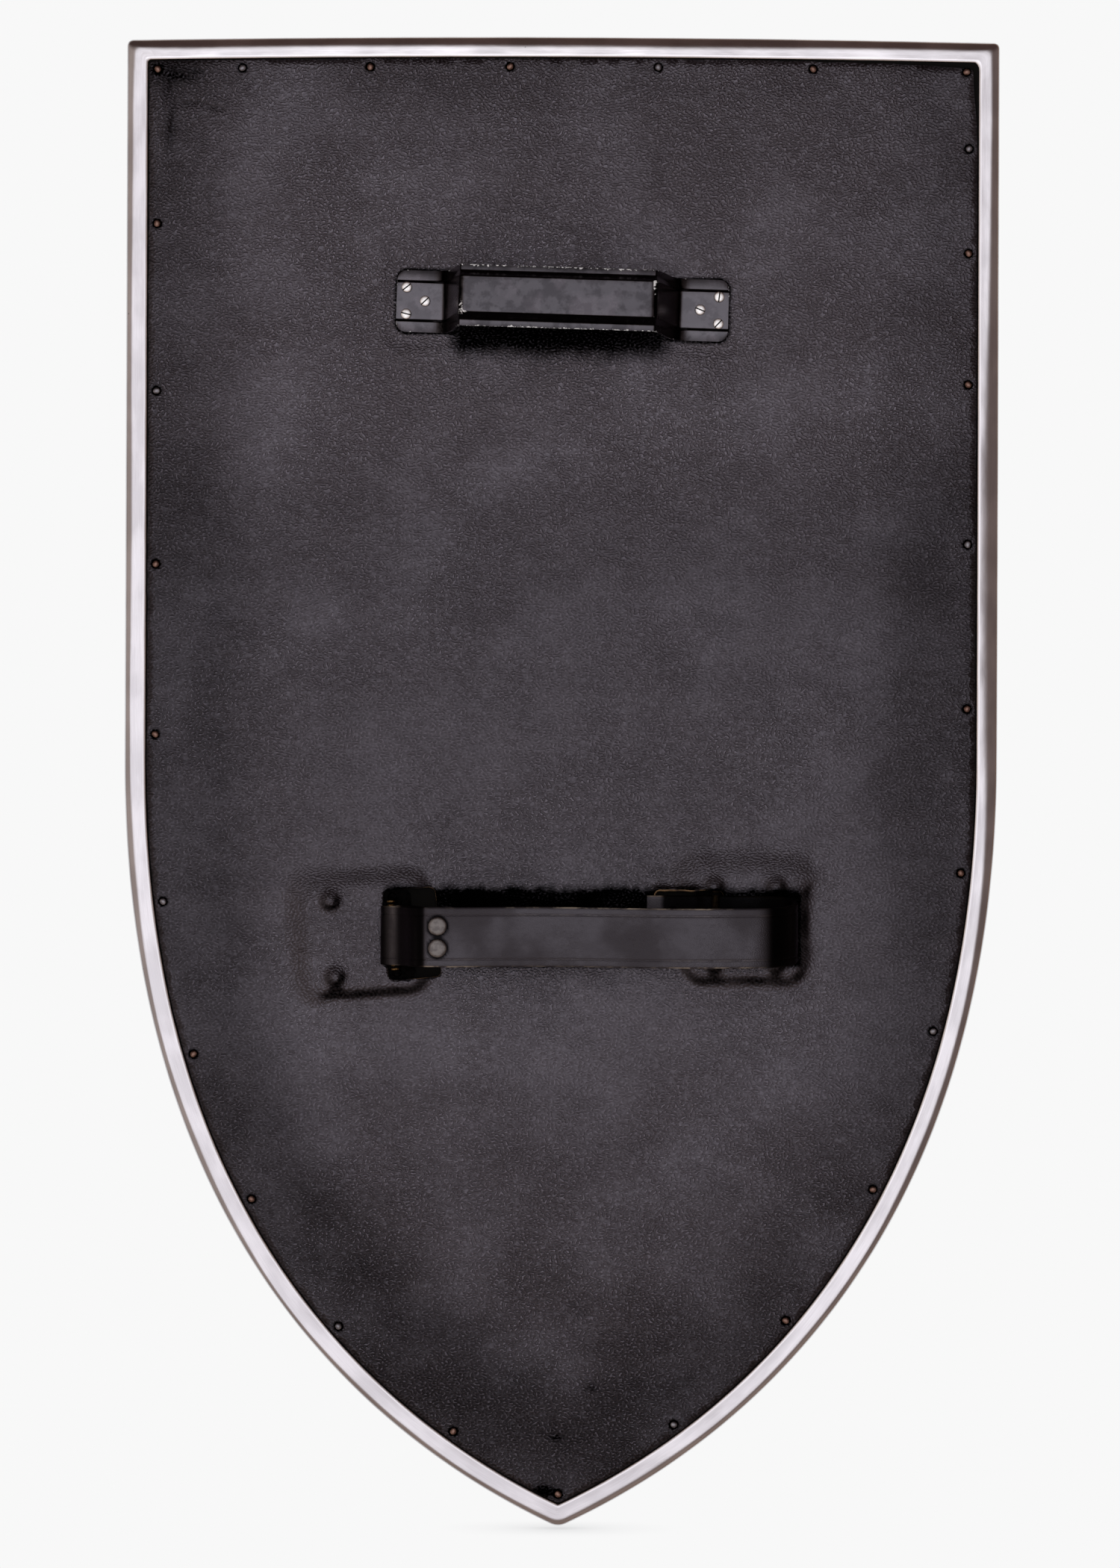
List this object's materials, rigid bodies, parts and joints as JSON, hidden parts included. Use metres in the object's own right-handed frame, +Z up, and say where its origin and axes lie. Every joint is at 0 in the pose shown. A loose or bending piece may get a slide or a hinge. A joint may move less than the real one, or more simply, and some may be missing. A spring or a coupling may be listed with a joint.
{
  "type": "heater shield",
  "caption": "Flat heater shield with a rolled steel rim, leather-lined back, pressed steel hand grip and riveted leather arm strap.",
  "frame": {"origin": "middle of the front face, on its outer surface", "axes": "+X to the right of someone who looks at the back, +Y out of the front face, +Z up along the shield's height"},
  "size_m": [0.445, 0.0523, 0.7599],
  "materials": {
    "plywood": "bare birch plywood, stained dark where the lining is cut open",
    "face_steel": "satin steel sheet",
    "rim_steel": "polished rolled steel",
    "lining_leather": "black grained leather, semi-gloss",
    "strap_leather": "black strap leather with creased edges",
    "grip_paint": "black paint on pressed steel, chipped to bright metal on its edges",
    "screw_zinc": "bright zinc-plated slotted screws",
    "rivet_steel": "dull grey steel",
    "tack_copper": "copper-plated tacks, browned",
    "tack_zinc": "grey zinc-plated tacks",
    "pin_brass": "dull brass pin",
    "black_steel": "blackened steel"
  },
  "bodies": {
    "root": {"board_core": "plywood", "front_face": "face_steel", "rim_top": "rim_steel", "rim_right": "rim_steel", "rim_left": "rim_steel", "back_lining": "lining_leather", "hand_grip": "grip_paint", "grip_screw_1": "screw_zinc", "grip_screw_2": "screw_zinc", "grip_screw_3": "screw_zinc", "grip_screw_4": "screw_zinc", "grip_screw_5": "screw_zinc", "grip_screw_6": "screw_zinc", "arm_strap": "strap_leather", "strap_rivet_1": "rivet_steel", "strap_rivet_2": "rivet_steel", "rivet_burr_1": "rivet_steel", "rivet_burr_2": "rivet_steel", "tail_screw_1": "black_steel", "tail_screw_2": "black_steel", "anchor_plate_left": "black_steel", "anchor_plate_right": "black_steel", "anchor_pin_left": "pin_brass", "anchor_pin_right": "pin_brass", "anchor_left_screw_1": "black_steel", "anchor_left_screw_2": "black_steel", "anchor_left_screw_3": "black_steel", "anchor_left_screw_4": "black_steel", "anchor_right_screw_1": "black_steel", "anchor_right_screw_2": "black_steel", "anchor_right_screw_3": "black_steel", "anchor_right_screw_4": "black_steel", "lining_tack_01": "tack_copper", "lining_tack_02": "tack_zinc", "lining_tack_03": "tack_copper", "lining_tack_04": "tack_copper", "lining_tack_05": "tack_zinc", "lining_tack_06": "tack_copper", "lining_tack_07": "tack_copper", "lining_tack_08": "tack_zinc", "lining_tack_09": "tack_copper", "lining_tack_10": "tack_copper", "lining_tack_11": "tack_zinc", "lining_tack_12": "tack_copper", "lining_tack_13": "tack_copper", "lining_tack_14": "tack_zinc", "lining_tack_15": "tack_copper", "lining_tack_16": "tack_copper", "lining_tack_17": "tack_zinc", "lining_tack_18": "tack_copper", "lining_tack_19": "tack_copper", "lining_tack_20": "tack_zinc", "lining_tack_21": "tack_copper", "lining_tack_22": "tack_copper", "lining_tack_23": "tack_zinc", "lining_tack_24": "tack_copper", "lining_tack_25": "tack_copper", "lining_tack_26": "tack_zinc", "lining_tack_27": "tack_copper"}
  },
  "joints": []
}
